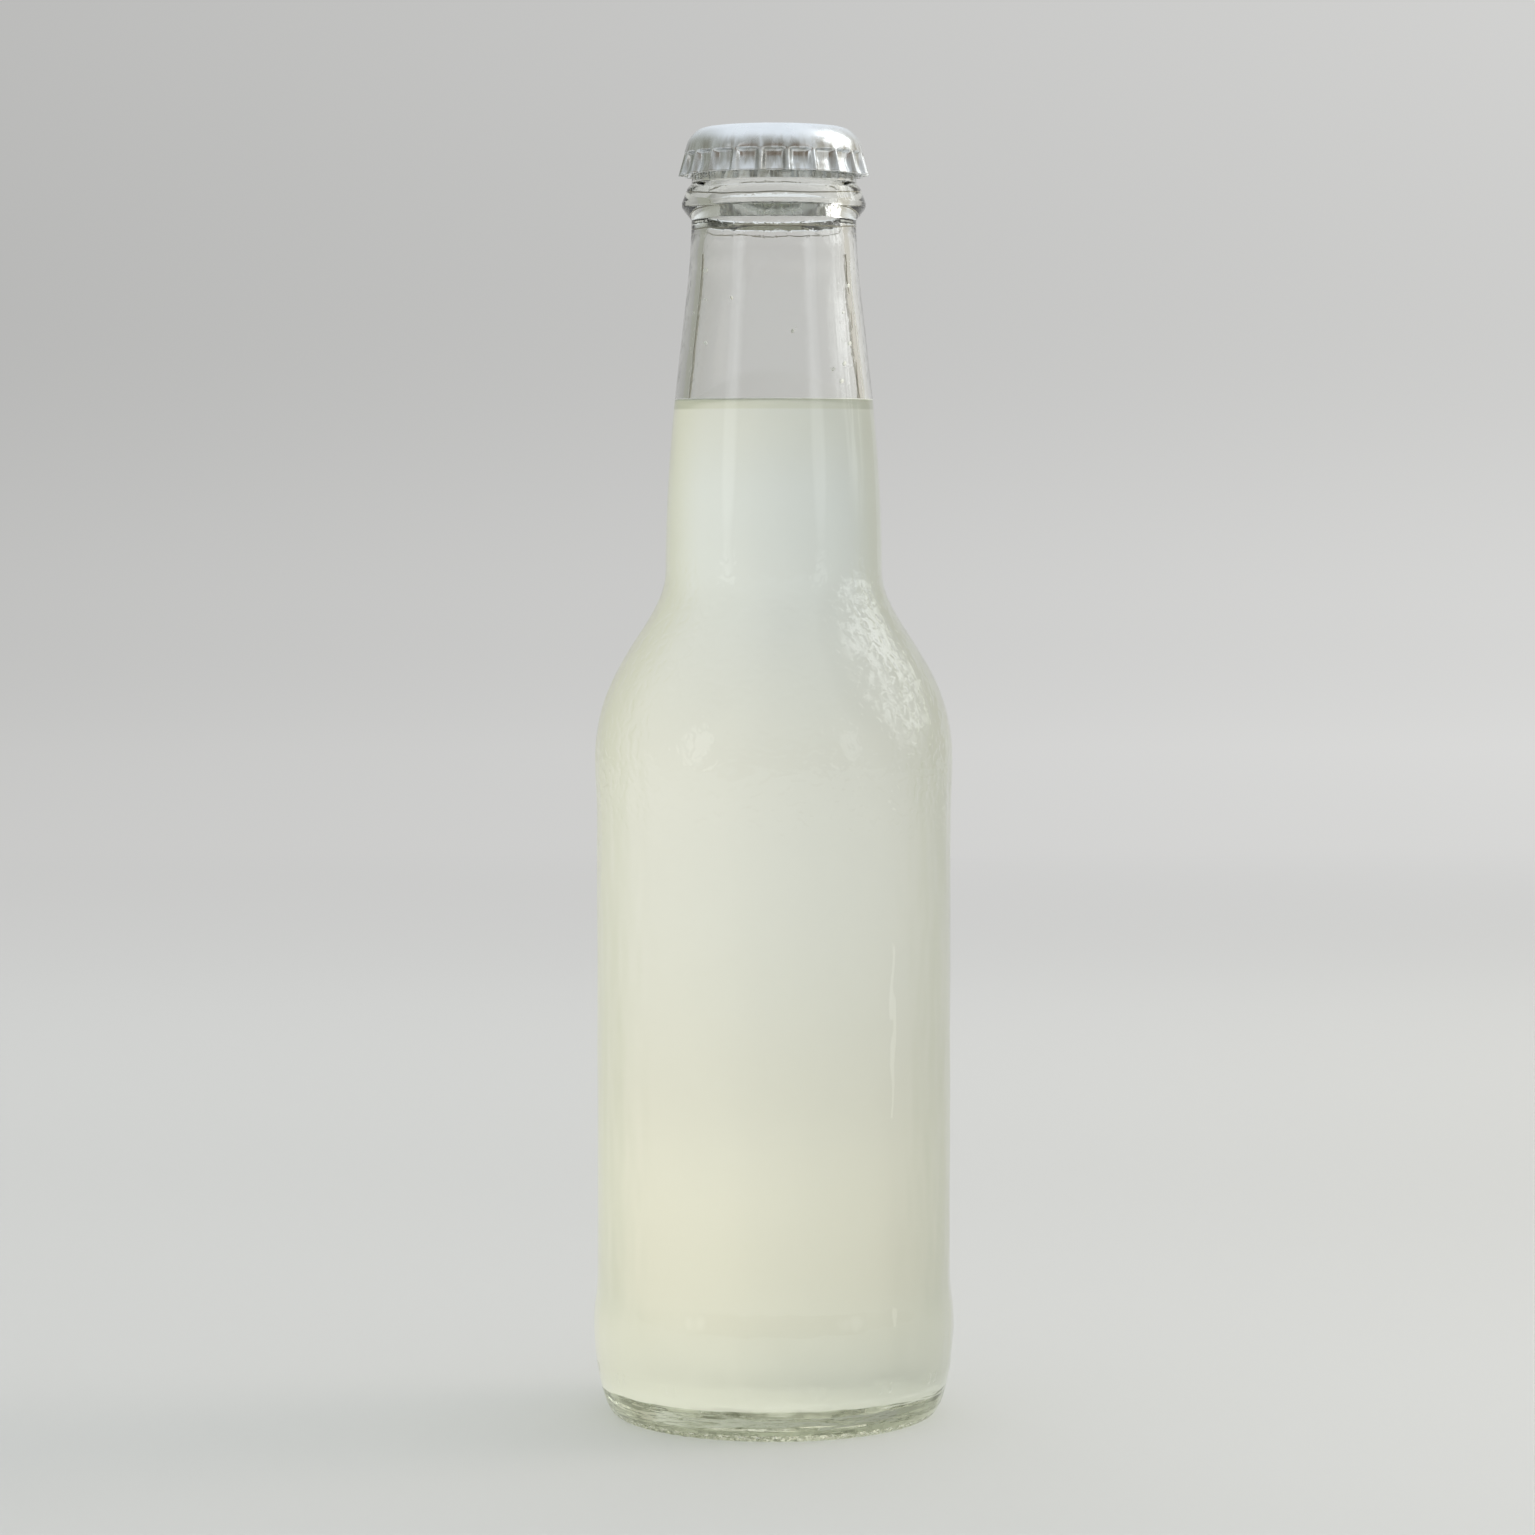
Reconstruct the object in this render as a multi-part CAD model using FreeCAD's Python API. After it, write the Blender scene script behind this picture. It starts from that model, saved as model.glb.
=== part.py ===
import FreeCAD, Part
import math
import os

# A small clear glass soda bottle with a steel crown cap, filled with a pale cloudy drink.
# Millimetres. +Z is up, and the origin is the centre of the ring that the bottle stands on.

Vector = FreeCAD.Vector

# Base: a standing ring round a shallow push-up, and a heel that swells to a contact ring
ring_inner_radius = 23.15
ring_outer_radius = 24.35
ring_inner_round = 1.2
push_up_height = 2.8
push_up_flat_radius = 16.0
push_up_drop = 0.5
push_up_round = 9.0
heel_radius = 28.15
heel_height = 14.2
heel_toe_reach = 2.7
heel_belly_drop = 3.9

# Body: a label panel sunk between the heel ring and the shoulder ring
panel_radius = 27.55
panel_run_in = 8.1
panel_length = 71.5
panel_run_out = 8.7
run_softness = 4.0

# Shoulder: from its contact ring in to the root of the neck
shoulder_radius = 27.78
shoulder_rise = 29.2
shoulder_fullness = 15.2
shoulder_hollow = 8.55

# Neck: barrelled, from its root up to the waist under the bead
neck_root_radius = 16.78
neck_waist_radius = 12.74
neck_length = 53.5
neck_fullness = 24.1
neck_hollow = 11.2

# Bead: the reinforcing ring below the cap, sharp underneath and sloped on top
bead_radius = 14.21
bead_foot_rise = 0.35
bead_under_height = 1.9
bead_nose_height = 0.75
bead_slope_height = 2.15
bead_slope_in = 0.8
bead_crest_height = 0.8
bead_round = 0.75

# Finish: the plain band above the bead and the lip that the cap grips
finish_radius = 12.72
finish_height = 13.8
lip_radius = 12.85
lip_ring_drop = 5.0
lip_ring_slope = 1.0
lip_ring_round = 0.5
lip_crown_round = 2.0

# Inside: an even wall up to the root of the neck, thicker at the waist, and a rounded floor
glass_wall = 2.2
waist_wall = 2.8
mouth_radius = 8.2
mouth_round = 1.2
throat_drop = 7.5
throat_softness = 3.0
floor_height = 4.6
floor_rise = 0.9
floor_flat_radius = 15.0
floor_round = 12.0
floor_corner_round = 6.5

# Drink: up to its fill line, with the rim drawn up the glass
fill_drop = 41.05
drink_clearance = 0.1
rim_rise = 0.7
rim_width = 1.6

# Crown cap: thin steel, a flat top, a round corner and a fluted skirt crimped under the lip
flute_count = 21
sheet = 0.24
crimp_clearance = 0.05
corner_reach = 3.04
corner_drop = 2.9
skirt_drop = 7.4
flute_start = 1.1
ridge_spread = 1.68
ridge_ease = 1.1
valley_kick = 0.7
valley_kick_start = 0.55
dome_rise = 0.4
dome_ledge = 0.02

# Liner: the soft seal between the lip and the cap, with a plug that dips into the mouth
liner_thickness = 0.55
liner_inset = 1.58
liner_clearance = 0.08
plug_depth = 0.35
plug_clearance = 0.3

# How the flutes are drawn: pole places from valley to valley, in half pitches from the ridge,
# the share of the middle pole in the ridge's height, and the sections down the cap
flute_pole_places = (-1, -0.62, -0.24, 0, 0.24, 0.62, 1)
ridge_pole_weight = 20 / 64
corner_steps = 4
skirt_steps = 4

# Heights that follow from the lengths above
panel_start = heel_height + panel_run_in
panel_end = panel_start + panel_length
shoulder_height = panel_end + panel_run_out
neck_root_height = shoulder_height + shoulder_rise
waist_height = neck_root_height + neck_length
lip_top = waist_height + finish_height
cap_top = lip_top + liner_thickness + sheet
fill_height = lip_top - fill_drop

# Radii that follow from them
bore_radius = panel_radius - glass_wall
neck_root_bore = neck_root_radius - glass_wall
waist_bore = neck_waist_radius - waist_wall
cap_wall_radius = lip_radius + crimp_clearance + sheet
cap_flat_radius = cap_wall_radius - corner_reach
liner_radius = lip_radius - liner_inset


def station(radius, height):
    """A point of an outline, drawn in the plane that is turned about the axis."""
    return Vector(radius, 0, height)


def straight(start, end):
    """A straight stretch of an outline."""
    return Part.makeLine(station(*start), station(*end))


def upright_curve(start, end, start_reach, end_reach):
    """A smooth stretch that leaves and arrives upright, each end holding on for its reach."""
    curve = Part.BezierCurve()
    curve.setPoles([
        station(*start),
        station(start[0], start[1] + start_reach),
        station(end[0], end[1] - end_reach),
        station(*end),
    ])
    return curve.toShape()


def rounded_run(corners):
    """Straight stretches through (radius, height, rounding) corners, with tangent rounds."""
    points = [station(radius, height) for radius, height, rounding in corners]
    edges = []
    here = points[0]
    for index in range(1, len(points) - 1):
        corner = points[index]
        back = points[index - 1] - corner
        ahead = points[index + 1] - corner
        half_angle = back.getAngle(ahead) / 2
        shortest_side = min(back.Length, ahead.Length)
        reach = min(corners[index][2] / math.tan(half_angle), shortest_side / 2)
        rounding = reach * math.tan(half_angle)
        back.normalize()
        ahead.normalize()
        middle = back + ahead
        middle.normalize()
        entry = corner + back * reach
        leave = corner + ahead * reach
        crown = corner + middle * (rounding / math.sin(half_angle) - rounding)
        if here.distanceToPoint(entry) > Part.Precision.confusion():
            edges.append(Part.makeLine(here, entry))
        edges.append(Part.Arc(entry, crown, leave).toShape())
        here = leave
    edges.append(Part.makeLine(here, points[-1]))
    return edges


def turned(edges):
    """The solid swept by an outline that starts on the axis, in one turn about it."""
    outline = Part.Wire(edges)
    first = outline.OrderedVertexes[0].Point
    last = outline.OrderedVertexes[-1].Point
    foot = Vector(0, 0, last.z)
    closing = []
    if last.distanceToPoint(foot) > Part.Precision.confusion():
        closing.append(Part.makeLine(last, foot))
    closing.append(Part.makeLine(foot, first))
    face = Part.Face(Part.Wire(edges + closing))
    return face.revolve(Vector(0, 0, 0), Vector(0, 0, 1), 360)


def base_outline():
    """The push-up, the standing ring and the heel, out to the heel's contact ring."""
    edges = rounded_run([
        (0, push_up_height, 0),
        (push_up_flat_radius, push_up_height - push_up_drop, push_up_round),
        (ring_inner_radius, 0, ring_inner_round),
        (ring_outer_radius, 0, 0),
    ])
    heel = Part.BezierCurve()
    heel.setPoles([
        station(ring_outer_radius, 0),
        station(ring_outer_radius + heel_toe_reach, 0),
        station(heel_radius, heel_height - heel_belly_drop),
        station(heel_radius, heel_height),
    ])
    edges.append(heel.toShape())
    return edges


def body_outline():
    """The sunk label panel, the shoulder and the neck, up to the waist under the bead."""
    heel_ring = (heel_radius, heel_height)
    panel_foot = (panel_radius, panel_start)
    panel_head = (panel_radius, panel_end)
    shoulder_ring = (shoulder_radius, shoulder_height)
    neck_root = (neck_root_radius, neck_root_height)
    waist = (neck_waist_radius, waist_height)
    return [
        upright_curve(heel_ring, panel_foot, run_softness, run_softness),
        straight(panel_foot, panel_head),
        upright_curve(panel_head, shoulder_ring, run_softness, run_softness),
        upright_curve(shoulder_ring, neck_root, shoulder_fullness, shoulder_hollow),
        upright_curve(neck_root, waist, neck_fullness, neck_hollow),
    ]


def finish_outline():
    """The bead, the plain band above it and the lip, in to the axis across the mouth."""
    bead_foot = waist_height + bead_foot_rise
    bead_under = bead_foot + bead_under_height
    bead_nose = bead_under + bead_nose_height
    bead_slope = bead_nose + bead_slope_height
    bead_crest = bead_slope + bead_crest_height
    lip_ring = lip_top - lip_ring_drop
    return rounded_run([
        (neck_waist_radius, waist_height, 0),
        (neck_waist_radius, bead_foot, bead_round),
        (bead_radius, bead_under, bead_round),
        (bead_radius, bead_nose, bead_round),
        (bead_radius - bead_slope_in, bead_slope, bead_round),
        (finish_radius, bead_crest, bead_round),
        (finish_radius, lip_ring, lip_ring_round),
        (lip_radius, lip_ring + lip_ring_slope, lip_ring_round),
        (lip_radius, lip_top, lip_crown_round),
        (0, lip_top, 0),
    ])


def inside_outline(clearance):
    """The inner wall from the floor's centre up to the throat, taken in by a clearance."""
    body_wall = bore_radius - clearance
    root_wall = neck_root_bore - clearance
    waist_wall = waist_bore - clearance
    floor = floor_height + clearance
    edges = rounded_run([
        (0, floor + floor_rise, 0),
        (floor_flat_radius, floor, floor_round),
        (body_wall, floor, floor_corner_round),
        (body_wall, shoulder_height, 0),
    ])
    edges.append(upright_curve(
        (body_wall, shoulder_height),
        (root_wall, neck_root_height),
        shoulder_fullness,
        shoulder_hollow,
    ))
    edges.append(upright_curve(
        (root_wall, neck_root_height),
        (waist_wall, waist_height),
        neck_fullness,
        neck_hollow,
    ))
    return edges


def throat_outline():
    """From the waist's bore in to the mouth's bore, and out over the mouth's rounded edge."""
    throat_height = lip_top - throat_drop
    edge_start = (mouth_radius, lip_top - mouth_round)
    edge_end = (mouth_radius + mouth_round, lip_top)
    inset = mouth_round * (1 - math.sqrt(0.5))
    edge_middle = (mouth_radius + inset, lip_top - inset)
    above_mouth = (mouth_radius + mouth_round, lip_top + mouth_round)
    mouth_edge = Part.Arc(station(*edge_start), station(*edge_middle), station(*edge_end))
    return [
        upright_curve(
            (waist_bore, waist_height),
            (mouth_radius, throat_height),
            throat_softness,
            throat_softness,
        ),
        straight((mouth_radius, throat_height), edge_start),
        mouth_edge.toShape(),
        straight(edge_end, above_mouth),
    ]


def neck_bore_at(height):
    """The neck's inner radius at a height, found by halving along its curve."""
    curve = upright_curve(
        (neck_root_bore, neck_root_height),
        (waist_bore, waist_height),
        neck_fullness,
        neck_hollow,
    ).Curve
    low, high = 0.0, 1.0
    while high - low > Part.Precision.confusion():
        middle = (low + high) / 2
        if curve.value(middle).z < height:
            low = middle
        else:
            high = middle
    return curve.value(low).x


def make_bottle():
    """The glass: its outer form less everything inside."""
    outer = turned(base_outline() + body_outline() + finish_outline())
    inner = turned(inside_outline(0) + throat_outline())
    return outer.cut(inner)


def make_drink():
    """The drink: the inside, a clearance in from the glass, up to the fill line."""
    inside = turned(inside_outline(drink_clearance))
    rim_radius = neck_bore_at(fill_height)
    rim_start = (rim_radius - rim_width, fill_height)
    rim_end = (rim_radius, fill_height + rim_rise)
    above = Part.BezierCurve()
    above.setPoles([
        station(*rim_start),
        station(rim_radius, fill_height),
        station(*rim_end),
    ])
    outside_everything = max(heel_radius, shoulder_radius)
    air = turned([
        straight((0, fill_height), rim_start),
        above.toShape(),
        straight(rim_end, (outside_everything, fill_height + rim_rise)),
        straight((outside_everything, fill_height + rim_rise), (outside_everything, lip_top)),
    ])
    return inside.cut(air)


def cap_wall_at(drop, inset):
    """Radius of the cap's plain wall: an elliptic corner from the flat top, then upright."""
    reach = cap_wall_radius - cap_flat_radius - inset
    share = max(corner_drop - drop, 0) / (corner_drop - inset)
    return cap_flat_radius + reach * math.sqrt(1 - share ** 2)


def flute_share(drop):
    """How far down the fluted part a drop lies: nothing above it, one at the skirt's edge."""
    return max(drop - flute_start, 0) / (skirt_drop - flute_start)


def ridge_at(drop, inset):
    """Radius along a ridge, which flares steadily to the edge."""
    return cap_wall_at(drop, inset) + ridge_spread * flute_share(drop) ** ridge_ease


def valley_at(drop, inset):
    """Radius along a valley, pressed on the lip and then kicked out at the edge."""
    kick_share = max(flute_share(drop) - valley_kick_start, 0) / (1 - valley_kick_start)
    return cap_wall_at(drop, inset) + valley_kick * kick_share ** 2


def section_drops(inset, overrun):
    """The drops below the top at which the cap's sections are drawn."""
    drops = []
    for step in range(corner_steps):
        turn = math.pi / 2 * step / corner_steps
        drops.append(corner_drop - (corner_drop - inset) * math.cos(turn))
    for step in range(skirt_steps + 1):
        drops.append(corner_drop + (skirt_drop + overrun - corner_drop) * step / skirt_steps)
    return drops


def fluted_ring(drop, inset):
    """One closed section of the cap: narrow ridges and broad valleys, a valley to the front."""
    half_pitch = math.pi / flute_count
    valley = valley_at(drop, inset)
    ridge_pole = valley + (ridge_at(drop, inset) - valley) / ridge_pole_weight
    height = cap_top - drop
    flutes = []
    for flute in range(flute_count):
        ridge_angle = half_pitch * (2 * flute + 1) - math.pi / 2
        poles = []
        for place in flute_pole_places:
            turn = place * half_pitch
            distance = ridge_pole if place == 0 else valley / math.cos(half_pitch - abs(turn))
            angle = ridge_angle + turn
            poles.append(Vector(distance * math.cos(angle), distance * math.sin(angle), height))
        flute_curve = Part.BezierCurve()
        flute_curve.setPoles(poles)
        flutes.append(flute_curve.toShape())
    return Part.Wire(flutes)


def fluted_form(inset, overrun):
    """The cap as if solid, its face inset from the outer one."""
    rings = [fluted_ring(drop, inset) for drop in section_drops(inset, overrun)]
    return Part.makeLoft(rings, True, False)


def make_cap():
    """The crown cap: its outer form with a low dome on top, less the form inside the sheet."""
    dome_radius = cap_flat_radius - dome_ledge
    sphere_radius = (dome_radius ** 2 + dome_rise ** 2) / (2 * dome_rise)
    half_turn = math.asin(dome_radius / sphere_radius) / 2
    dome_middle = Vector(
        sphere_radius * math.sin(half_turn),
        0,
        cap_top + dome_rise - sphere_radius * (1 - math.cos(half_turn)),
    )
    dome_arc = Part.Arc(
        Vector(dome_radius, 0, cap_top),
        dome_middle,
        Vector(0, 0, cap_top + dome_rise),
    )
    dome = turned([straight((0, cap_top), (dome_radius, cap_top)), dome_arc.toShape()])
    shell = fluted_form(0, 0).cut(fluted_form(sheet, sheet))
    return shell.fuse(dome)


def make_liner():
    """The liner: a disc pressed on the lip, with a plug in the mouth."""
    top = lip_top + liner_thickness
    plug_radius = mouth_radius - plug_clearance
    plug_foot = lip_top - plug_depth
    edge_radius = cap_flat_radius - liner_clearance
    return turned([
        straight((0, plug_foot), (plug_radius - plug_depth, plug_foot)),
        straight((plug_radius - plug_depth, plug_foot), (plug_radius, lip_top)),
        straight((plug_radius, lip_top), (liner_radius, lip_top)),
        straight((liner_radius, lip_top), (edge_radius, top)),
        straight((edge_radius, top), (0, top)),
    ])


makers = {
    "bottle": make_bottle,
    "drink": make_drink,
    "cap": make_cap,
    "liner": make_liner,
}

os.makedirs("parts", exist_ok=True)
for node, make in makers.items():
    shape = make()
    shape.exportStep("parts/" + node + ".step")
    print(node, shape.ShapeType, len(shape.Solids), shape.isValid(), round(shape.Volume, 1))
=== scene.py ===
import bpy
import math
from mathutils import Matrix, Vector


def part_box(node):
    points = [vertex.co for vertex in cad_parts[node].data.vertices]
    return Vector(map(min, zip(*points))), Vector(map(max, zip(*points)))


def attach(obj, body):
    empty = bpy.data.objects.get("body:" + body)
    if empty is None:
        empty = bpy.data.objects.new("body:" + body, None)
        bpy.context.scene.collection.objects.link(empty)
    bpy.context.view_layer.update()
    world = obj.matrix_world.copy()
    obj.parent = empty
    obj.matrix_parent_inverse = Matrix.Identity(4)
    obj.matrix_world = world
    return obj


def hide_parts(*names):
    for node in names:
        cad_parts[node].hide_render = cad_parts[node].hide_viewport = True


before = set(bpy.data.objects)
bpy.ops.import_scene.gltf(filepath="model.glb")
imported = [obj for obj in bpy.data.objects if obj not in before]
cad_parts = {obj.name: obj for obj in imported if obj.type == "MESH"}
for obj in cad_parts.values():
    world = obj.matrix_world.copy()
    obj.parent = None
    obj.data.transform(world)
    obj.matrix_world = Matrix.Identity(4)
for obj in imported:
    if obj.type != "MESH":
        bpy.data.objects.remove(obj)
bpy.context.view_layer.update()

# Metres, +Z up. Lengths are written in millimetres and turned to metres by MM.
MM = 0.001

# What the frame gives: the glass, the drink and the cap
glass_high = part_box("bottle")[1]
drink_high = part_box("drink")[1]
cap_low, cap_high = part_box("cap")
body_radius = glass_high.x
lip_top = glass_high.z

# Outside of the glass
ring_radius = body_radius - 3.8 * MM
push_up_height = 2.8 * MM
heel_height = 14.2 * MM
panel_sink = 0.6 * MM
panel_start = heel_height + 8.1 * MM
panel_end = panel_start + 71.5 * MM
shoulder_height = panel_end + 8.7 * MM
shoulder_inset = 0.37 * MM
neck_root_height = shoulder_height + 29.2 * MM
neck_root_radius = 16.78 * MM
waist_height = lip_top - 13.8 * MM
waist_radius = 12.74 * MM
bead_radius = 14.21 * MM
finish_radius = 12.72 * MM
lip_radius = 12.85 * MM
mouth_radius = 9.8 * MM
turn_steps = 360

# Inside of the glass
glass_wall = 2.2 * MM
neck_wall = 1.9 * MM
waist_wall = 1.6 * MM
throat_start = waist_height - 7 * MM
throat_end = lip_top - 5 * MM
floor_height = 4.1 * MM

# Marks on the glass: knurls round the toe, rings under the base, bars on the heel
knurl_count = 60
knurl_depth = 0.5 * MM
knurl_radius = ring_radius + 0.75 * MM
knurl_width = 0.5 * MM
base_ring_pitch = 1.3 * MM
base_ring_depth = 0.05 * MM
base_ring_start = 15 * MM
ripple_depth = 0.03 * MM
bar_height = 7.7 * MM
bar_count = 90
bar_groups = 15
bar_mark = 0.24

# How far the bars and knurls lean, in radians of their wave to a metre of height
bar_slant = 260
knurl_slant = 1500

# The drink, and the lines that it dries into on the inner wall
drink_push = 0.3 * MM
fill_height = drink_high.z - 0.6 * MM
wall_residue_top = 180 * MM
wall_foam_top = 179 * MM
throat_residue_height = 184.2 * MM
mouth_residue_height = 188.8 * MM

# Crown cap, drops measured down from its flat top
flute_count = 21
flute_steps = 20
cap_top = lip_top + 0.79 * MM
cap_wall_radius = lip_radius + 0.29 * MM
cap_flat_radius = cap_wall_radius - 3.04 * MM
corner_drop = 2.9 * MM
skirt_drop = cap_top - cap_low.z
flute_start = 1.1 * MM
ridge_spread = cap_high.x - cap_wall_radius
shelf_drop = 3.8 * MM
valley_drop = 4.35 * MM
kick_drop = 5.1 * MM
valley_kick = 0.75 * MM
sheet = 0.24 * MM

# The camera, level with the foot of the neck and tipped a little down, in degrees; a long lens
camera_place = (-0.98 * MM, -710.67 * MM, 142.56 * MM)
camera_tip = 3.352
camera_lens = 107.34

# Where the broken bright window stands: to the right, a little behind
window_way = (0.81, 0.2, 0.5)


def bezier(start, start_hold, end_hold, end, steps, crowding=1):
    """Points along a smooth stretch of an outline, without its first point."""
    points = []
    for step in range(1, steps + 1):
        t = (step / steps) ** crowding
        u = 1 - t
        weights = (u ** 3, 3 * u * u * t, 3 * u * t * t, t ** 3)
        corners = (start, start_hold, end_hold, end)
        points.append(tuple(sum(w * c[axis] for w, c in zip(weights, corners)) for axis in (0, 1)))
    return points


def upright(start, end, start_reach, end_reach, steps):
    """A smooth stretch that leaves and arrives upright."""
    start_hold = (start[0], start[1] + start_reach)
    end_hold = (end[0], end[1] - end_reach)
    return bezier(start, start_hold, end_hold, end, steps)


def rounded(corners, steps):
    """Straight stretches through (radius, height, rounding) corners with round turns."""
    points = [Vector(corner[:2]) for corner in corners]
    path = [tuple(points[0])]
    for index in range(1, len(points) - 1):
        corner = points[index]
        back = points[index - 1] - corner
        ahead = points[index + 1] - corner
        half_angle = back.angle(ahead) / 2
        reach = min(corners[index][2] / math.tan(half_angle), min(back.length, ahead.length) / 2)
        entry = corner + back.normalized() * reach
        leave = corner + ahead.normalized() * reach
        radius = reach * math.tan(half_angle)
        middle = (back.normalized() + ahead.normalized()).normalized()
        centre = corner + middle * (radius / math.sin(half_angle))
        spoke = entry - centre
        sweep = spoke.angle_signed(leave - centre)
        for step in range(steps + 1):
            angle = -sweep * step / steps
            turned = Vector((
                spoke.x * math.cos(angle) - spoke.y * math.sin(angle),
                spoke.x * math.sin(angle) + spoke.y * math.cos(angle),
            ))
            path.append(tuple(centre + turned))
    path.append(tuple(points[-1]))
    return path


def inside_wall(push):
    """The inner wall from the floor's centre to the waist, pushed out into the glass."""
    bore = body_radius - panel_sink - glass_wall + push
    root = neck_root_radius - neck_wall + push
    waist = waist_radius - waist_wall + push
    floor = floor_height - push
    points = rounded([
        (0, floor + 0.9 * MM, 0),
        (15 * MM, floor, 12 * MM),
        (bore, floor, 6.5 * MM),
        (bore, panel_start, 0),
    ], 8)
    points += upright((bore, panel_start), (bore, shoulder_height), MM, MM, 8)
    points += upright((bore, shoulder_height), (root, neck_root_height), 15.2 * MM, 8.55 * MM, 20)
    points += upright((root, neck_root_height), (waist, throat_start), 22 * MM, 6 * MM, 20)
    return points


def glass_outline():
    """Round the whole glass: base, outside, lip, throat, inner wall and floor."""
    heel_ring = (body_radius, heel_height)
    panel_radius = body_radius - panel_sink
    shoulder_ring = (body_radius - shoulder_inset, shoulder_height)
    neck_root = (neck_root_radius, neck_root_height)
    waist = (waist_radius, waist_height)
    outline = []
    under = rounded([
        (0, push_up_height, 0),
        (16 * MM, push_up_height - 0.5 * MM, 9 * MM),
        (ring_radius - 1.2 * MM, 0, 1.2 * MM),
        (ring_radius, 0, 0),
    ], 5)
    for start, end in zip(under, under[1:]):
        pieces = max(1, round((end[0] - start[0]) / (0.32 * MM))) if start[0] > base_ring_start else 1
        outline += [
            (
                start[0] + (end[0] - start[0]) * piece / pieces,
                start[1] + (end[1] - start[1]) * piece / pieces,
            )
            for piece in range(pieces)
        ]
    outline.append(under[-1])
    outline += bezier(
        (ring_radius, 0),
        (ring_radius + 2.7 * MM, 0),
        (body_radius, heel_height - 3.9 * MM),
        heel_ring,
        24,
        1.5,
    )
    outline += upright(heel_ring, (panel_radius, panel_start), 4 * MM, 4 * MM, 8)
    outline += upright((panel_radius, panel_start), (panel_radius, panel_end), MM, MM, 8)
    outline += upright((panel_radius, panel_end), shoulder_ring, 4 * MM, 4 * MM, 8)
    outline += upright(shoulder_ring, neck_root, 15.2 * MM, 8.55 * MM, 22)
    outline += upright(neck_root, waist, 24.1 * MM, 11.2 * MM, 20)
    foot = waist_height + 0.35 * MM
    outline += rounded([
        (waist_radius, waist_height, 0),
        (waist_radius, foot, 0.75 * MM),
        (bead_radius, foot + 1.9 * MM, 0.75 * MM),
        (bead_radius, foot + 2.65 * MM, 0.75 * MM),
        (bead_radius - 0.8 * MM, foot + 4.8 * MM, 0.75 * MM),
        (finish_radius, foot + 5.6 * MM, 0.75 * MM),
        (finish_radius, lip_top - 5 * MM, 0.5 * MM),
        (lip_radius, lip_top - 4 * MM, 0.5 * MM),
        (lip_radius, lip_top, 2 * MM),
        (mouth_radius, lip_top, 1.2 * MM),
        (mouth_radius, throat_end, 0),
    ], 5)[1:]
    bore = waist_radius - waist_wall
    throat = upright((bore, throat_start), (mouth_radius, throat_end), 6 * MM, 6 * MM, 8)
    inner = inside_wall(0)
    return outline + throat[-2::-1] + inner[::-1]


def drink_outline():
    """The drink, reaching a hair into the glass so that no air gap shows."""
    inner = inside_wall(drink_push)
    rim_foot = fill_height - 1.5 * MM
    rim_top = fill_height + 0.1 * MM
    rim = [radius for radius, height in inner if height >= rim_foot][0] - 0.05 * MM
    outline = [point for point in inner if point[1] < rim_foot]
    outline += [(rim, fill_height - MM), (rim, rim_top)]
    outline += bezier(
        (rim, rim_top),
        (rim - 0.5 * MM, rim_top),
        (rim - MM, fill_height),
        (rim - 2.2 * MM, fill_height),
        8,
    )
    outline.append((0, fill_height))
    return outline


def linked(name, data):
    """A new object in the scene."""
    thing = bpy.data.objects.new(name, data)
    bpy.context.scene.collection.objects.link(thing)
    return thing


def mesh_object(name, points, edges=(), faces=()):
    """A new mesh object, made from points and the edges or faces between them."""
    mesh = bpy.data.meshes.new(name)
    mesh.from_pydata(points, edges, faces)
    return linked(name, mesh)


def open_edges(count):
    """The edges of an open chain of points."""
    return [(index, index + 1) for index in range(count - 1)]


def profile_object(name, outline):
    """An object that holds an outline as a chain of edges in the XZ plane."""
    chain = []
    for point in outline:
        if not chain or (Vector(point) - Vector(chain[-1])).length > 0.004 * MM:
            chain.append(point)
    points = [(radius, 0, height) for radius, height in chain]
    return mesh_object(name, points, open_edges(len(chain)))


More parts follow.
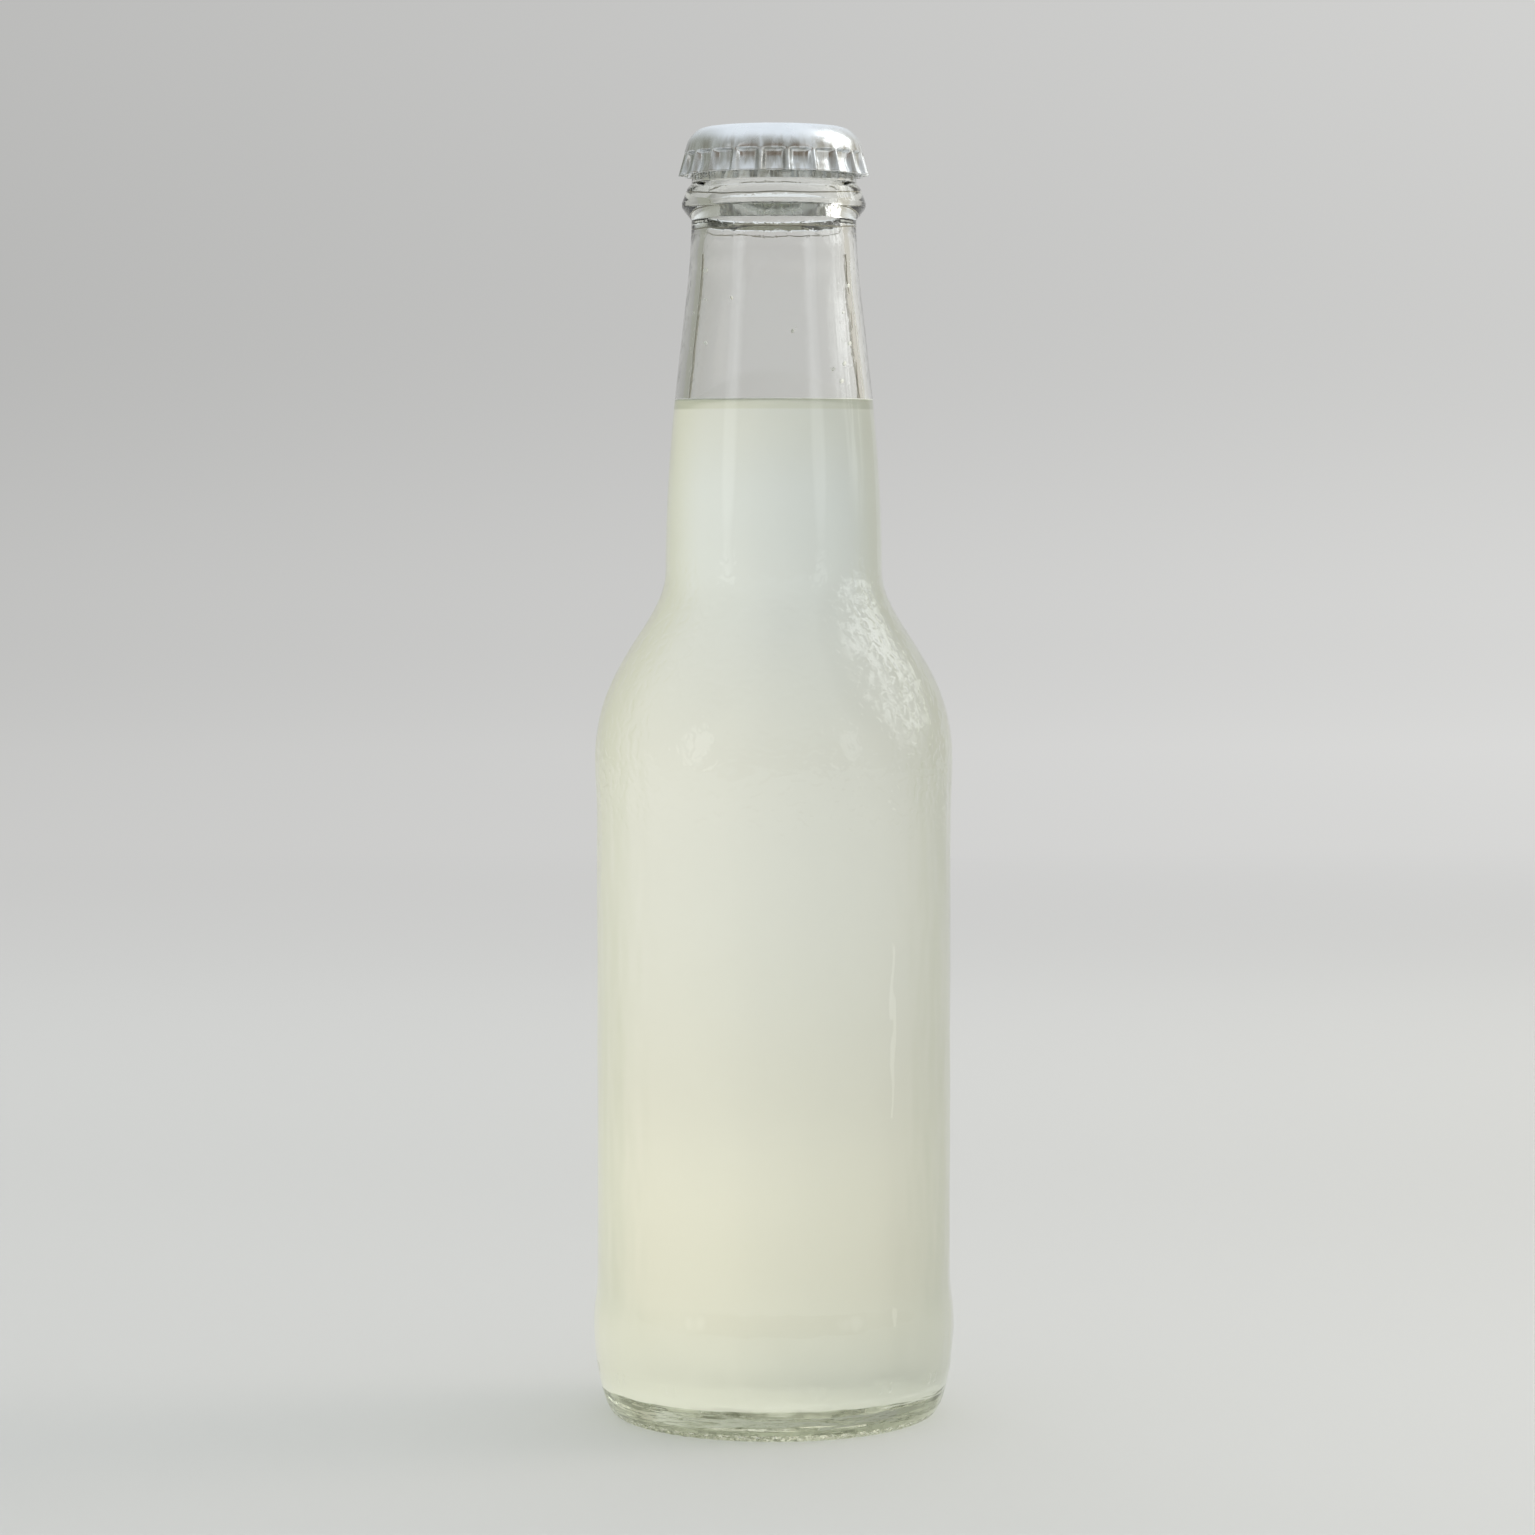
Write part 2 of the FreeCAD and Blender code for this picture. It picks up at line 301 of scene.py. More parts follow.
class Layout:
    """Lays out nodes, each fed by plain values or by other nodes."""

    def __init__(self, tree):
        self.tree = tree

    def feed(self, socket, value):
        if isinstance(value, bpy.types.Node):
            value = value.outputs[0]
        if isinstance(value, bpy.types.NodeSocket):
            self.tree.links.new(value, socket)
        else:
            socket.default_value = value

    def node(self, kind, settings=None, **links):
        """A node with its settings; a link is named for its socket, or i0, i1 for its place."""
        made = self.tree.nodes.new(kind)
        for key, value in (settings or {}).items():
            setattr(made, key, value)
        for key, value in links.items():
            place = int(key[1:]) if key[0] == "i" and key[1:].isdigit() else key.replace("_", " ")
            self.feed(made.inputs[place], value)
        return made

    def math(self, operation, *values):
        made = self.node("ShaderNodeMath", {"operation": operation})
        for socket, value in zip(made.inputs, values):
            self.feed(socket, value)
        return made.outputs[0]

    def times(self, first, *others):
        for other in others:
            first = self.math("MULTIPLY", first, other)
        return first

    def plus(self, first, second):
        return self.math("ADD", first, second)

    def minus(self, first, second):
        return self.math("SUBTRACT", first, second)

    def divided(self, first, second):
        return self.math("DIVIDE", first, second)

    def times_plus(self, first, second, third):
        return self.math("MULTIPLY_ADD", first, second, third)

    def vector(self, operation, first, second=None, scale=None):
        made = self.node("ShaderNodeVectorMath", {"operation": operation}, i0=first)
        if second is not None:
            self.feed(made.inputs[1], second)
        if scale is not None:
            self.feed(made.inputs["Scale"], scale)
        return made.outputs["Value" if operation in ("DOT_PRODUCT", "LENGTH") else "Vector"]

    def parts(self, vector):
        """The three parts of a vector."""
        return list(self.node("ShaderNodeSeparateXYZ", i0=vector).outputs)

    def span(self, value, low, high, start=0.0, end=1.0):
        """A number carried smoothly from one range to another."""
        made = self.node(
            "ShaderNodeMapRange",
            {"interpolation_type": "SMOOTHSTEP"},
            Value=value,
            From_Min=low,
            From_Max=high,
            To_Min=start,
            To_Max=end,
        )
        return made.outputs[0]

    def noise(self, vector, scale, detail=2.0):
        return self.node("ShaderNodeTexNoise", Vector=vector, Scale=scale, Detail=detail).outputs[0]


class Tree(Layout):
    """A Geometry Nodes tree with named inputs, each given as a label, a kind and a value."""

    def __init__(self, name, inputs):
        super().__init__(bpy.data.node_groups.new(name, "GeometryNodeTree"))
        face = self.tree.interface
        face.new_socket("Geometry", in_out="INPUT", socket_type="NodeSocketGeometry")
        for label, kind, value in inputs:
            socket = face.new_socket(label, in_out="INPUT", socket_type="NodeSocket" + kind)
            socket.default_value = value
        face.new_socket("Material", in_out="INPUT", socket_type="NodeSocketMaterial")
        face.new_socket("Geometry", in_out="OUTPUT", socket_type="NodeSocketGeometry")
        self.source = self.tree.nodes.new("NodeGroupInput")
        self.sink = self.tree.nodes.new("NodeGroupOutput")

    def given(self, label):
        return self.source.outputs[label]

    def finish(self, geometry):
        """The last steps of each tree: smooth, real mesh with its material."""
        smooth = self.node("GeometryNodeSetShadeSmooth", Geometry=geometry)
        real = self.node("GeometryNodeRealizeInstances", Geometry=smooth)
        done = self.node("GeometryNodeSetMaterial", Geometry=real, Material=self.given("Material"))
        self.feed(self.sink.inputs["Geometry"], done)
        return self.tree


def grown(thing, group, sizes):
    """Runs a tree on an object and leaves its result as the object's plain mesh."""
    modifier = thing.modifiers.new(group.name, "NODES")
    modifier.node_group = group
    for item in group.interface.items_tree:
        if item.item_type == "SOCKET" and item.in_out == "INPUT" and item.name in sizes:
            modifier[item.identifier] = sizes[item.name]
    bpy.context.view_layer.update()
    evaluated = thing.evaluated_get(bpy.context.evaluated_depsgraph_get())
    result = bpy.data.meshes.new_from_object(evaluated)
    thing.modifiers.remove(modifier)
    old = thing.data
    thing.data = result
    result.name = thing.name
    bpy.data.meshes.remove(old)


class TurnedTree(Tree):
    """A tree that turns a chain of points about the axis into one closed skin."""

    def __init__(self, name, inputs):
        super().__init__(name, inputs)
        self.chain = self.given("Geometry")

    def lay_grid(self, steps):
        """A grid with a row for each point of the chain, and a column for each step round."""
        count = self.node("GeometryNodeAttributeDomainSize", Geometry=self.chain)
        around = self.plus(steps, 1)
        self.grid = self.node(
            "GeometryNodeMeshGrid",
            Vertices_X=count.outputs["Point Count"],
            Vertices_Y=around,
        )
        index = self.node("GeometryNodeInputIndex").outputs[0]
        self.row = self.math("FLOOR", self.divided(self.plus(index, 0.5), around))
        self.column = self.minus(index, self.times(self.row, around))
        self.turn = self.divided(self.times(self.column, math.tau), steps)

    def sampled(self, kind, value):
        """A value read from the chain's point in this row."""
        return self.node(
            "GeometryNodeSampleIndex",
            {"data_type": kind},
            Geometry=self.chain,
            Value=value,
            Index=self.row,
        )

    def close(self, radius, angle, height):
        """Puts each point in its place, closes the seam and poles, and turns the faces out."""
        point = self.node(
            "ShaderNodeCombineXYZ",
            X=self.times(radius, self.math("COSINE", angle)),
            Y=self.times(radius, self.math("SINE", angle)),
            Z=height,
        )
        moved = self.node("GeometryNodeSetPosition", Geometry=self.grid, Position=point)
        closed = self.node("GeometryNodeMergeByDistance", Geometry=moved, Distance=0.001 * MM)
        return self.finish(self.node("GeometryNodeFlipFaces", Mesh=closed))


def turning_tree():
    """Turns an outline about the axis."""
    tree = TurnedTree("Turned Form", [("Steps", "Int", turn_steps)])
    tree.lay_grid(tree.given("Steps"))
    place = tree.node("GeometryNodeInputPosition")
    radius, _, height = tree.parts(tree.sampled("FLOAT_VECTOR", place))
    return tree.close(radius, tree.turn, height)


def relief_tree():
    """Knurls round the toe, fine rings under the base, ripples on the inner wall."""
    tree = Tree("Glass Relief", [
        ("Knurl Count", "Int", knurl_count),
        ("Knurl Depth", "Float", knurl_depth),
        ("Knurl Radius", "Float", knurl_radius),
        ("Knurl Width", "Float", knurl_width),
        ("Ring Pitch", "Float", base_ring_pitch),
        ("Ring Depth", "Float", base_ring_depth),
        ("Ripple Depth", "Float", ripple_depth),
    ])
    place = tree.node("GeometryNodeInputPosition").outputs[0]
    normal = tree.node("GeometryNodeInputNormal").outputs[0]
    x, y, height = tree.parts(place)
    facing_up = tree.parts(normal)[2]
    flat = tree.node("ShaderNodeCombineXYZ", X=x, Y=y, Z=0.0)
    radius = tree.vector("LENGTH", flat)
    facing_out = tree.vector("DOT_PRODUCT", tree.vector("NORMALIZE", flat), normal)

    # Slanted knurls, deepest in the middle of their band on the outside of the toe
    turn = tree.times(tree.math("ARCTAN2", y, x), tree.given("Knurl Count"))
    offside = tree.divided(tree.minus(radius, tree.given("Knurl Radius")), tree.given("Knurl Width"))
    wave = tree.math("COSINE", tree.times_plus(offside, 0.9, turn))
    groove = tree.math("POWER", tree.times_plus(wave, -0.5, 0.5), 1.5)
    near = tree.math("MAXIMUM", tree.minus(1.0, tree.math("ABSOLUTE", offside)), 0.0)
    toe = tree.math("LESS_THAN", height, 3 * MM)
    outside = tree.math("GREATER_THAN", facing_out, 0.05)
    knurls = tree.times(groove, near, toe, outside, tree.given("Knurl Depth"))

    # Fine rings on the downward face of the base, inside the standing ring
    ring_turn = tree.times(tree.divided(radius, tree.given("Ring Pitch")), math.tau)
    ring_wave = tree.times_plus(tree.math("COSINE", ring_turn), 0.5, 0.5)
    rings = tree.times(
        ring_wave,
        tree.given("Ring Depth"),
        tree.math("LESS_THAN", facing_up, -0.4),
        tree.math("GREATER_THAN", height, 0.4 * MM),
        tree.math("GREATER_THAN", radius, base_ring_start),
        tree.math("LESS_THAN", facing_out, 0.05),
    )

    # Long soft ripples on the inner wall
    noise = tree.noise(tree.vector("MULTIPLY", place, (1, 1, 0.45)), 90, 1.0)
    ripple = tree.times(tree.minus(noise, 0.5), tree.given("Ripple Depth"))
    inside = tree.math("LESS_THAN", facing_out, -0.2)
    inner = tree.times(inside, tree.math("GREATER_THAN", height, 6 * MM))

    total = tree.minus(tree.times(ripple, inner), tree.plus(knurls, rings))
    shift = tree.vector("SCALE", normal, scale=total)
    moved = tree.node("GeometryNodeSetPosition", Geometry=tree.given("Geometry"), Offset=shift)
    return tree.finish(
        tree.node("GeometryNodeStoreNamedAttribute", Geometry=moved, Name="inner_wall", Value=inner)
    )


def residue_and_glint_tree():
    """Swells a chain of points into a thin, broken, wavering line: dried drink, fine foam, and the pale ring
    painted as a highlight at the fill line.
    """
    tree = Tree("Residue Line", [
        ("Waver", "Vector", (0, 0, 1.8 * MM)),
        ("Thickness", "Float", 0.1 * MM),
        ("Thinnest", "Float", 0.1),
        ("Seed", "Float", 1.0),
    ])
    place = tree.node("GeometryNodeInputPosition")

    def wander(seed, scale):
        return tree.node(
            "ShaderNodeTexNoise",
            {"noise_dimensions": "4D"},
            Vector=place,
            W=seed,
            Scale=scale,
            Detail=2.0,
        )

    slow = wander(tree.given("Seed"), 140.0).outputs[1]
    fast = wander(tree.plus(tree.given("Seed"), 5.0), 700.0).outputs[0]
    swing = tree.vector("SUBTRACT", slow, (0.5, 0.5, 0.5))
    offset = tree.vector("MULTIPLY", swing, tree.given("Waver"))
    width = tree.span(fast, 0.48, 0.62, tree.given("Thinnest"))
    chain = tree.node("GeometryNodeMeshToCurve", Mesh=tree.given("Geometry"))
    moved = tree.node("GeometryNodeSetPosition", Geometry=chain, Offset=offset)
    wide = tree.node("GeometryNodeSetCurveRadius", Curve=moved, Radius=width)
    section = tree.node("GeometryNodeCurvePrimitiveCircle", Resolution=8, Radius=tree.given("Thickness"))
    return tree.finish(
        tree.node("GeometryNodeCurveToMesh", Curve=wide, Profile_Curve=section, Fill_Caps=True)
    )


def drops_tree():
    """Sets a flattened drop on each given point of the inner wall."""
    tree = Tree("Wall Drops", [
        ("Drop Radius", "Float", 0.34 * MM),
        ("Flatness", "Float", 0.55),
        ("Seed", "Int", 3),
    ])
    ball = tree.node("GeometryNodeMeshIcoSphere", Radius=tree.given("Drop Radius"), Subdivisions=3)
    flat = tree.vector("MULTIPLY", tree.node("GeometryNodeInputPosition").outputs[0], (1, 1, 0))
    turned = tree.node("FunctionNodeAlignRotationToVector", {"axis": "Z"}, Vector=flat)
    spread = tree.node("FunctionNodeRandomValue", {"data_type": "FLOAT"}, Seed=tree.given("Seed"))
    limits = [socket for socket in spread.inputs if socket.name in ("Min", "Max") and socket.type == "VALUE"]
    for socket, value in zip(limits, (0.45, 1.1)):
        tree.feed(socket, value)
    size = [socket for socket in spread.outputs if socket.type == "VALUE"][0]
    scale = tree.node(
        "ShaderNodeCombineXYZ",
        X=size,
        Y=tree.times(size, 1.25),
        Z=tree.times(size, tree.given("Flatness")),
    )
    drops = tree.node(
        "GeometryNodeInstanceOnPoints",
        Points=tree.given("Geometry"),
        Instance=ball,
        Rotation=turned,
        Scale=scale,
    )
    return tree.finish(tree.node("GeometryNodeRealizeInstances", Geometry=drops))


def crown_tree():
    """Turns the cap's ridge and valley outlines about the axis, ridge after valley."""
    tree = TurnedTree("Fluted Crown", [
        ("Flute Count", "Int", flute_count),
        ("Flute Steps", "Int", flute_steps),
        ("Ridge Width", "Float", 0.46),
    ])
    tree.lay_grid(tree.times(tree.given("Flute Count"), tree.given("Flute Steps")))
    place = tree.node("GeometryNodeInputPosition")
    ridge, _, height = tree.parts(tree.sampled("FLOAT_VECTOR", place))
    held = tree.node("GeometryNodeInputNamedAttribute", {"data_type": "FLOAT"}, Name="valley_radius")
    valley = tree.sampled("FLOAT", held).outputs[0]
    part = tree.math("FRACT", tree.divided(tree.column, tree.given("Flute Steps")))
    away = tree.times(tree.math("ABSOLUTE", tree.minus(part, 0.5)), 2.0)
    rise = tree.span(away, tree.given("Ridge Width"), 0.0)
    radius = tree.times_plus(tree.minus(ridge, valley), rise, valley)
    return tree.close(radius, tree.minus(tree.turn, math.pi / 2), height)


def cap_section(drop, inset):
    """Ridge and valley radii of the cap at a drop, for the outer face or one sheet in."""
    share = max(corner_drop - drop, 0) / (corner_drop - inset)
    wall = cap_flat_radius + (cap_wall_radius - cap_flat_radius - inset) * math.sqrt(max(1 - share ** 2, 0))
    flare = max(drop - flute_start, 0) / (skirt_drop - flute_start)
    ridge = wall + ridge_spread * flare ** 1.1
    shelf = min(max((drop - shelf_drop) / (valley_drop - shelf_drop), 0), 1)
    sunk = shelf * shelf * (3 - 2 * shelf)
    kick = max(drop - kick_drop, 0) / (skirt_drop - kick_drop)
    valley = ridge + (wall + valley_kick * kick ** 1.6 - ridge) * sunk
    return ridge, valley


def cap_chain(name):
    """The cap's outline as a chain: over the top, down the skirt, round its edge and back."""
    rows = []
    rise = cap_high.z - cap_top
    for step in range(8):
        share = step / 8
        rows.append((cap_flat_radius * share, cap_flat_radius * share, cap_top + rise * (1 - share ** 2)))
    drops = [corner_drop * (1 - math.cos(math.pi / 2 * step / 9)) for step in range(9)]
    drops += [shelf_drop + (valley_drop - shelf_drop) * step / 5 for step in range(6)]
    drops += [valley_drop + (skirt_drop - valley_drop) * step / 12 for step in range(1, 13)]
    for drop in drops:
        rows.append((*cap_section(drop, 0), cap_top - drop))
    for drop in reversed(drops):
        if drop > sheet:
            ridge, valley = cap_section(drop, sheet)
            tuck = sheet * 0.5 * (1 - min(skirt_drop - drop, sheet) / sheet)
            rows.append((ridge - tuck, valley - tuck, cap_top - drop))
    rows.append((0, 0, cap_top - sheet))
    rows.reverse()
    points = [(ridge, 0, height) for ridge, valley, height in rows]
    thing = mesh_object(name, points, open_edges(len(rows)))
    held = thing.data.attributes.new("valley_radius", "FLOAT", "POINT")
    for item, row in zip(held.data, rows):
        item.value = row[1]
    return thing


class Shades(Layout):
    """A material's or a world's nodes."""

    def __init__(self, owner):
        owner.use_nodes = True
        super().__init__(owner.node_tree)
        self.owner = owner
        self.tree.nodes.clear()

    def blend(self, share, first, second):
        """One colour laid over another."""
        made = self.node("ShaderNodeMix", {"data_type": "RGBA"}, i0=share)
        for socket, value in zip((made.inputs[6], made.inputs[7]), (first, second)):
            self.feed(socket, value if isinstance(value, bpy.types.NodeSocket) else (*value, 1))
        return made.outputs[2]

    def over(self, share, first, second):
        """One shader laid over another."""
        return self.node("ShaderNodeMixShader", i0=share, i1=first, i2=second).outputs[0]

    def skin(self, **looks):
        """The shader of a surface: its colour, roughness and so on."""
        return self.node("ShaderNodeBsdfPrincipled", **looks).outputs[0]

    def relief(self, height):
        """A surface's fine relief, from its height in millimetres."""
        return self.node("ShaderNodeBump", Strength=1.0, Distance=MM, Height=height).outputs[0]

    def absorbed(self, colour, density):
        """Light soaked up on its way through."""
        return self.node("ShaderNodeVolumeAbsorption", Color=(*colour, 1), Density=density).outputs[0]

    def see_through(self, surface, shadow_tint, tint):
        """Lets shadow and diffuse rays go straight through with their tints."""
        shadow = self.node("ShaderNodeBsdfTransparent", Color=(*shadow_tint, 1))
        clear = self.node("ShaderNodeBsdfTransparent", Color=(*tint, 1))
        path = self.node("ShaderNodeLightPath")
        soft = self.over(path.outputs["Is Diffuse Ray"], surface, clear)
        return self.over(path.outputs["Is Shadow Ray"], soft, shadow)

    def finish(self, surface, volume=None):
        out = self.node("ShaderNodeOutputMaterial", Surface=surface)
        if volume is not None:
            self.feed(out.inputs["Volume"], volume)
        return self.owner


def object_place(shades):
    """Where a point lies on the piece, in object coordinates."""
    return shades.node("ShaderNodeTexCoord").outputs["Object"]


def glass_relief(shades):
    """Height of the glass surface's fine marks in millimetres."""
    place = object_place(shades)
    x, y, z = shades.parts(place)

    # A faint peel all over, and the crinkled shoulder with its flecks
    upper = shades.span(z, neck_root_height + 6 * MM, neck_root_height - 4 * MM)
    lower = shades.span(z, panel_end - 6 * MM, panel_end + 8 * MM)
    shoulder = shades.times(upper, lower)
    peel = shades.noise(place, 300, 0.5)
    height = shades.times(peel, shades.times_plus(shoulder, 0.14, 0.006))
    flecks = shades.span(shades.noise(place, 850, 0.0), 0.45, 0.75)
    height = shades.times_plus(flecks, shades.times(shoulder, 0.045), height)

    # Long waves, stronger down the body
    waves = shades.noise(shades.vector("MULTIPLY", place, (1, 1, 0.3)), 230, 1.0)
    wave_height = shades.span(z, neck_root_height, panel_end, 0.02, 0.3)
    height = shades.times_plus(waves, wave_height, height)

    # Specks of drink on the inner wall above the fill line
    inner = shades.node("ShaderNodeAttribute", {"attribute_name": "inner_wall"}).outputs["Fac"]
    specks = shades.span(shades.noise(place, 900), 0.52, 0.66)
    above = shades.span(z, drink_high.z, drink_high.z + 2 * MM)
    height = shades.times_plus(specks, shades.times(inner, above, 0.006), height)

    # Groups of short slanted bars round the heel
    angle = shades.math("ARCTAN2", x, shades.times(y, -1.0))
    off_bars = shades.minus(z, bar_height)
    bar_turn = shades.minus(shades.times(angle, bar_count), shades.times(off_bars, bar_slant))
    group_turn = shades.times(shades.plus(angle, math.radians(9)), bar_groups)
    bars = shades.span(shades.math("COSINE", bar_turn), 0.1, 0.8)
    groups = shades.span(shades.math("COSINE", group_turn), 0.45, 0.7)
    band = shades.span(shades.math("ABSOLUTE", off_bars), 0.9 * MM, 0.5 * MM)
    height = shades.times_plus(shades.times(bars, groups, band), bar_mark, height)

    # The knurls' fine edges at the toe
    knurl_turn = shades.minus(shades.times(angle, knurl_count), shades.times(z, knurl_slant))
    knurls = shades.span(shades.math("COSINE", knurl_turn), -0.3, 0.7)
    toe_start = shades.span(z, 0.02 * MM, 0.2 * MM)
    toe_end = shades.span(z, 1.1 * MM, 0.6 * MM)
    height = shades.times_plus(shades.times(toe_start, toe_end, knurls), 0.6, height)

    # Level strata in the heel
    strata = shades.noise(shades.vector("MULTIPLY", place, (0.2, 0.2, 2.2)), 420)
    heel = shades.times(shades.span(z, 9 * MM, 7.5 * MM), shades.span(z, MM, 2 * MM))
    height = shades.times_plus(shades.times(strata, heel), 0.2, height)

    # Waves on the level faces of the base
    normal = shades.node("ShaderNodeNewGeometry").outputs["Normal"]
    level = shades.math("ABSOLUTE", shades.parts(normal)[2])
    base = shades.times(shades.span(z, 7 * MM, 5.5 * MM), shades.span(level, 0.55, 0.85))
    return shades.times_plus(shades.times(base, shades.noise(place, 110, 3.0)), 2.4, height)


def glass_material():
    """Clear flint glass, very faintly yellow-green where it is thick."""
    shades = Shades(bpy.data.materials.new("Clear Flint Glass"))
    glass = shades.skin(
        Base_Color=(1, 1, 1, 1),
        Transmission_Weight=1.0,
        Roughness=0.0,
        IOR=1.5,
        Normal=shades.relief(glass_relief(shades)),
    )
    clear = shades.see_through(glass, (0.95, 0.955, 0.94), (0.96, 0.965, 0.955))
    return shades.finish(clear, shades.absorbed((0.6, 0.66, 0.42), 18.0))


def drink_tint(shades, place, z, under):
    """The drink's colour: bluish in the neck, lemon in the body; painted shade greys it towards the fill
    line and darkens its sides, rim and underside, and painted light brightens its foot.
    """
    drift = shades.times_plus(shades.noise(place, 45), 8 * MM, z)
    settled = shades.span(drift, panel_end, panel_start)
    lofty = shades.span(drift, shoulder_height, neck_root_height + 14 * MM)
    tint = shades.blend(settled, (0.97, 0.96, 0.96), (0.985, 0.945, 0.855))
    tint = shades.blend(lofty, tint, (0.885, 0.915, 0.955))

    # Painted shade: greyer towards the fill line, darker at the sides as they turn from view, and darker
    # round the rim
    rim = shades.span(z, drink_high.z - 2.2 * MM, drink_high.z - 1.8 * MM)
    top = shades.span(z, drink_high.z - 16 * MM, drink_high.z - 2 * MM)
    side = shades.span(shades.node("ShaderNodeLayerWeight").outputs["Facing"], 0.12, 0.28)
    side = shades.times(side, shades.span(z, 8 * MM, 20 * MM, 0.15))
    tint = shades.blend(shades.times(top, 0.85), tint, (0.84, 0.85, 0.83))
    tint = shades.blend(shades.times(side, 0.8), tint, (0.8, 0.81, 0.72))
    tint = shades.blend(rim, tint, shades.blend(side, (0.75, 0.76, 0.68), (0.54, 0.56, 0.45)))

    # Painted light: brighter near the foot
    tint = shades.blend(shades.span(z, 22 * MM, 9 * MM), tint, (1.0, 0.99, 0.93))
    # Painted shade: dark olive patches on its underside, as the push-up shades it
    patches = shades.span(shades.noise(place, 170), 0.42, 0.56)
    return shades.blend(under, tint, shades.blend(patches, (0.3, 0.32, 0.2), (0.8, 0.82, 0.66)))


def drink_material():
    """Cloudy lemon drink: light soaks through it, softly blurred and yellower with depth."""
    shades = Shades(bpy.data.materials.new("Cloudy Lemon Drink"))
    place = object_place(shades)
    z = shades.parts(place)[2]
    under = shades.span(z, floor_height + 0.8 * MM, floor_height + 0.3 * MM)
    low = shades.span(z, 55 * MM, 15 * MM)
    normal = shades.node("ShaderNodeNewGeometry").outputs["Normal"]
    down = shades.node("ShaderNodeCombineXYZ", X=0.0, Y=0.0, Z=shades.times(low, -1.0))
    leaning = shades.vector("ADD", shades.vector("MULTIPLY", normal, (1, 1, 0.3)), down)
    glow = shades.node(
        "ShaderNodeBsdfTranslucent",
        Color=drink_tint(shades, place, z, under),
        Normal=shades.vector("NORMALIZE", leaning),
    )
    body = shades.skin(
        Base_Color=(0.97, 0.97, 0.95, 1),
        Transmission_Weight=1.0,
        Roughness=0.2,
        IOR=1.33,
    )
    milk = shades.over(shades.span(under, 0, 1, 0.7, 0.35), body, glow)
    cloudy = shades.see_through(milk, (0.8, 0.8, 0.78), (0.95, 0.95, 0.94))
    return shades.finish(cloudy, shades.absorbed((0.72, 0.76, 0.4), 2.5))


def mottled_material(name, scale, detail, dark, light, roughness):
    """A plain finish whose colour wanders between two tints."""
    shades = Shades(bpy.data.materials.new(name))
    tint = shades.blend(shades.noise(object_place(shades), scale, detail), dark, light)
    return shades.finish(shades.skin(Base_Color=tint, Roughness=roughness))


def steel_material():
    """Tinned steel, a little uneven, with dark upright streaks on the skirt."""
    shades = Shades(bpy.data.materials.new("Tinned Steel"))
    place = object_place(shades)
    z = shades.parts(place)[2]
    cloud = shades.noise(place, 220)
    upright_streaks = shades.noise(shades.vector("MULTIPLY", place, (1, 1, 0.06)), 900, 3.0)
    skirt = shades.span(z, cap_top - 1.2 * MM, cap_top - 3.6 * MM)
    marks = shades.times(shades.span(upright_streaks, 0.4, 0.66), skirt)
    tint = shades.blend(cloud, (0.72, 0.75, 0.78), (0.9, 0.93, 0.95))
    tint = shades.blend(shades.times(marks, 0.75), tint, (0.48, 0.47, 0.43))
    height = shades.times_plus(upright_streaks, shades.times(skirt, 0.02), shades.times(cloud, 0.02))
    steel = shades.skin(
        Base_Color=tint,
        Roughness=shades.span(cloud, 0.3, 0.7, 0.19, 0.34),
        Metallic=0.96,
        Normal=shades.relief(height),
    )
    return shades.finish(steel)


def stage_material():
    """Pale paper with painted light: its tone is graded with depth and height and lighter to the right;
    plain where the bottle stands, an even graded tone farther back.
    """
    shades = Shades(bpy.data.materials.new("Studio Sweep"))
    x, y, z = shades.parts(object_place(shades))
    # Painted light: the tone rises and falls over the floor and up the backdrop as the lamps light it
    tone = shades.node("ShaderNodeValToRGB", Fac=shades.divided(shades.plus(y, z), 3.0))
    tone.color_ramp.interpolation = "EASE"
    stops = (
        (0, 0.6), (0.1, 0.556), (0.22, 0.558), (0.4, 0.635),
        (0.63, 0.638), (0.74, 0.604), (0.87, 0.548), (1, 0.58),
    )
    while len(tone.color_ramp.elements) < len(stops):
        tone.color_ramp.elements.new(0.5)
    for stop, (where, value) in zip(tone.color_ramp.elements, stops):
        stop.position = where
        stop.color = (value, value, value * 0.985, 1)
    # Painted light: darker to the left and lighter to the right, most steeply at the front and far back
    near_painted_fall = shades.span(y, 0.2, -0.1, 0.08, 0.3)
    far_painted_fall = shades.span(y, 0.7, 1.2, 0.0, 0.15)
    painted_light_fall = shades.times_plus(x, shades.plus(near_painted_fall, far_painted_fall), 1.0)
    graded = shades.vector("SCALE", tone.outputs[0], scale=painted_light_fall)
    paper = shades.node("ShaderNodeBsdfDiffuse", Color=graded)
    far = shades.node("ShaderNodeEmission", Color=graded)
    path = shades.node("ShaderNodeLightPath").outputs
    seen = shades.math("MAXIMUM", path["Is Camera Ray"], path["Is Transmission Ray"])
    seen = shades.math("MAXIMUM", seen, path["Is Glossy Ray"])
    share = shades.times(seen, shades.span(y, 0.25, 1.1))
    return shades.finish(shades.over(share, paper, far))


